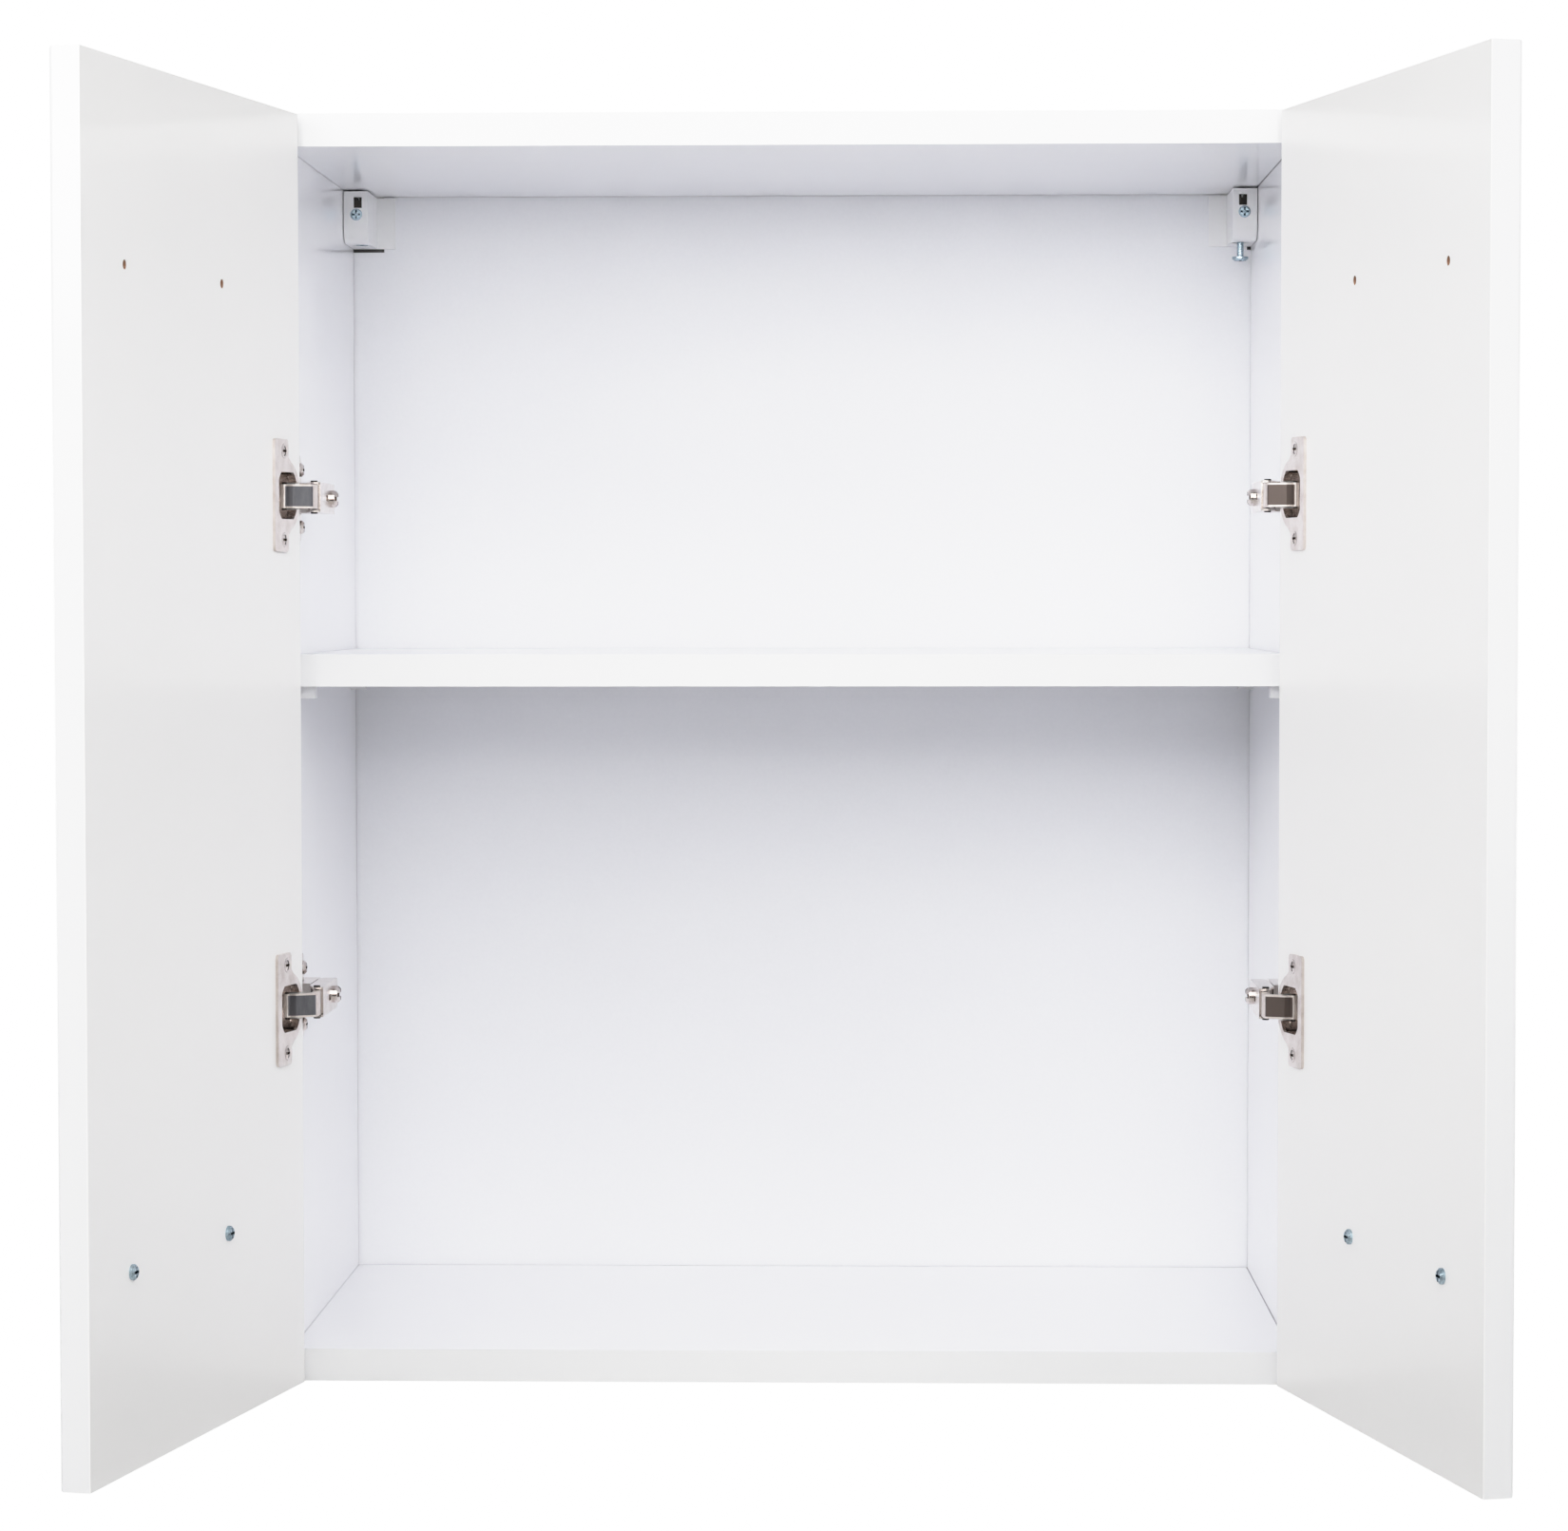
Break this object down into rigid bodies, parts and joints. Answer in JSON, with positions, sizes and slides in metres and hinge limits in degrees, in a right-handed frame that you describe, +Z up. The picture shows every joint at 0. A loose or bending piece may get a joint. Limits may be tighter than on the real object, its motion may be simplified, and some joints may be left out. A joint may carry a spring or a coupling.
{
  "type": "hanging wall cabinet",
  "caption": "White wall cabinet hung from hooks in its top rear corners, with hinged doors on concealed cup hinges and a loose shelf inside, shown with the doors open.",
  "frame": {"origin": "middle of the bottom rear edge, on the wall", "axes": "+Z up, +X to the right seen from the front, +Y from the front towards the wall"},
  "size_m": [0.7143, 0.5969, 0.7],
  "materials": {
    "white_board": "white melamine-faced board, satin",
    "back_board": "white lacquered thin hardboard, satin",
    "door_lacquer": "white faced fibreboard, glossy edges",
    "beech": "plain",
    "white_plastic": "satin",
    "zinc": "bright bluish zinc plating",
    "dark_steel": "dark oxide",
    "link_steel": "nickel plated, darker",
    "brushed_metal": "brushed",
    "nickel": "nickel plated"
  },
  "bodies": {
    "cabinet": {"left_side": "white_board", "right_side": "white_board", "top_panel": "white_board", "bottom_panel": "white_board", "back_panel": "back_board", "confirmat_screws": "zinc", "screw_caps": "white_plastic", "dowels": "beech", "shelf_pins": "white_plastic", "left_hanger_body": "white_plastic", "right_hanger_body": "white_plastic", "left_depth_screw": "zinc", "right_depth_screw": "zinc", "left_hanger_slide": "dark_steel", "right_hanger_slide": "dark_steel", "left_upper_plate": "nickel", "left_lower_plate": "nickel", "right_upper_plate": "nickel", "right_lower_plate": "nickel", "left_upper_arm": "nickel", "left_lower_arm": "nickel", "right_upper_arm": "nickel", "right_lower_arm": "nickel", "left_arm_pins": "dark_steel", "right_arm_pins": "dark_steel", "left_plate_screws": "nickel", "right_plate_screws": "nickel", "left_arm_screws": "nickel", "right_arm_screws": "nickel"},
    "left_links": {"left_upper_link": "link_steel", "left_lower_link": "link_steel"},
    "right_links": {"right_upper_link": "link_steel", "right_lower_link": "link_steel"},
    "left_door_set": {"left_door": "door_lacquer", "left_upper_cup": "nickel", "left_lower_cup": "nickel", "left_cup_pins": "dark_steel", "left_cup_screws": "nickel", "left_handle": "brushed_metal", "left_handle_screws": "zinc"},
    "right_door_set": {"right_door": "door_lacquer", "right_upper_cup": "nickel", "right_lower_cup": "nickel", "right_cup_pins": "dark_steel", "right_cup_screws": "nickel", "right_handle": "brushed_metal", "right_handle_screws": "zinc"},
    "shelf_board": {"shelf": "white_board"},
    "left_hook_set": {"left_hook": "zinc", "left_height_bolt": "zinc"},
    "right_hook_set": {"right_hook": "zinc", "right_height_bolt": "zinc"}
  },
  "joints": [
    {"name": "left_links_turn", "type": "hinge", "parent": "cabinet", "child": "left_links", "pos_m": [-0.262, -0.29765, 0.35], "axis": [0, 0, 1], "range_deg": [-33.89, 1.72]},
    {"name": "left_door_turn", "type": "hinge", "parent": "left_links", "child": "left_door_set", "pos_m": [-0.27551, -0.31849, 0.35], "axis": [0, 0, -1], "range_deg": [-136.09, 6.11]},
    {"name": "right_links_turn", "type": "hinge", "parent": "cabinet", "child": "right_links", "pos_m": [0.262, -0.29765, 0.35], "axis": [0, 0, -1], "range_deg": [-34.52, 1.09]},
    {"name": "right_door_turn", "type": "hinge", "parent": "right_links", "child": "right_door_set", "pos_m": [0.27528, -0.31864, 0.35], "axis": [0, 0, 1], "range_deg": [-138.61, 3.59]},
    {"name": "shelf_lift", "type": "slide", "parent": "cabinet", "child": "shelf_board", "axis": [0, 0, 1], "range_m": [0, 0.05]},
    {"name": "left_hook_height", "type": "slide", "parent": "cabinet", "child": "left_hook_set", "axis": [0, 0, 1], "range_m": [-0.011, 0]},
    {"name": "right_hook_height", "type": "slide", "parent": "cabinet", "child": "right_hook_set", "axis": [0, 0, 1], "range_m": [0, 0.011]}
  ],
  "couplings": [
    {"joint": "left_links_turn", "follows": "left_door_turn", "ratio": 0.24755},
    {"joint": "right_links_turn", "follows": "right_door_turn", "ratio": 0.24755}
  ]
}
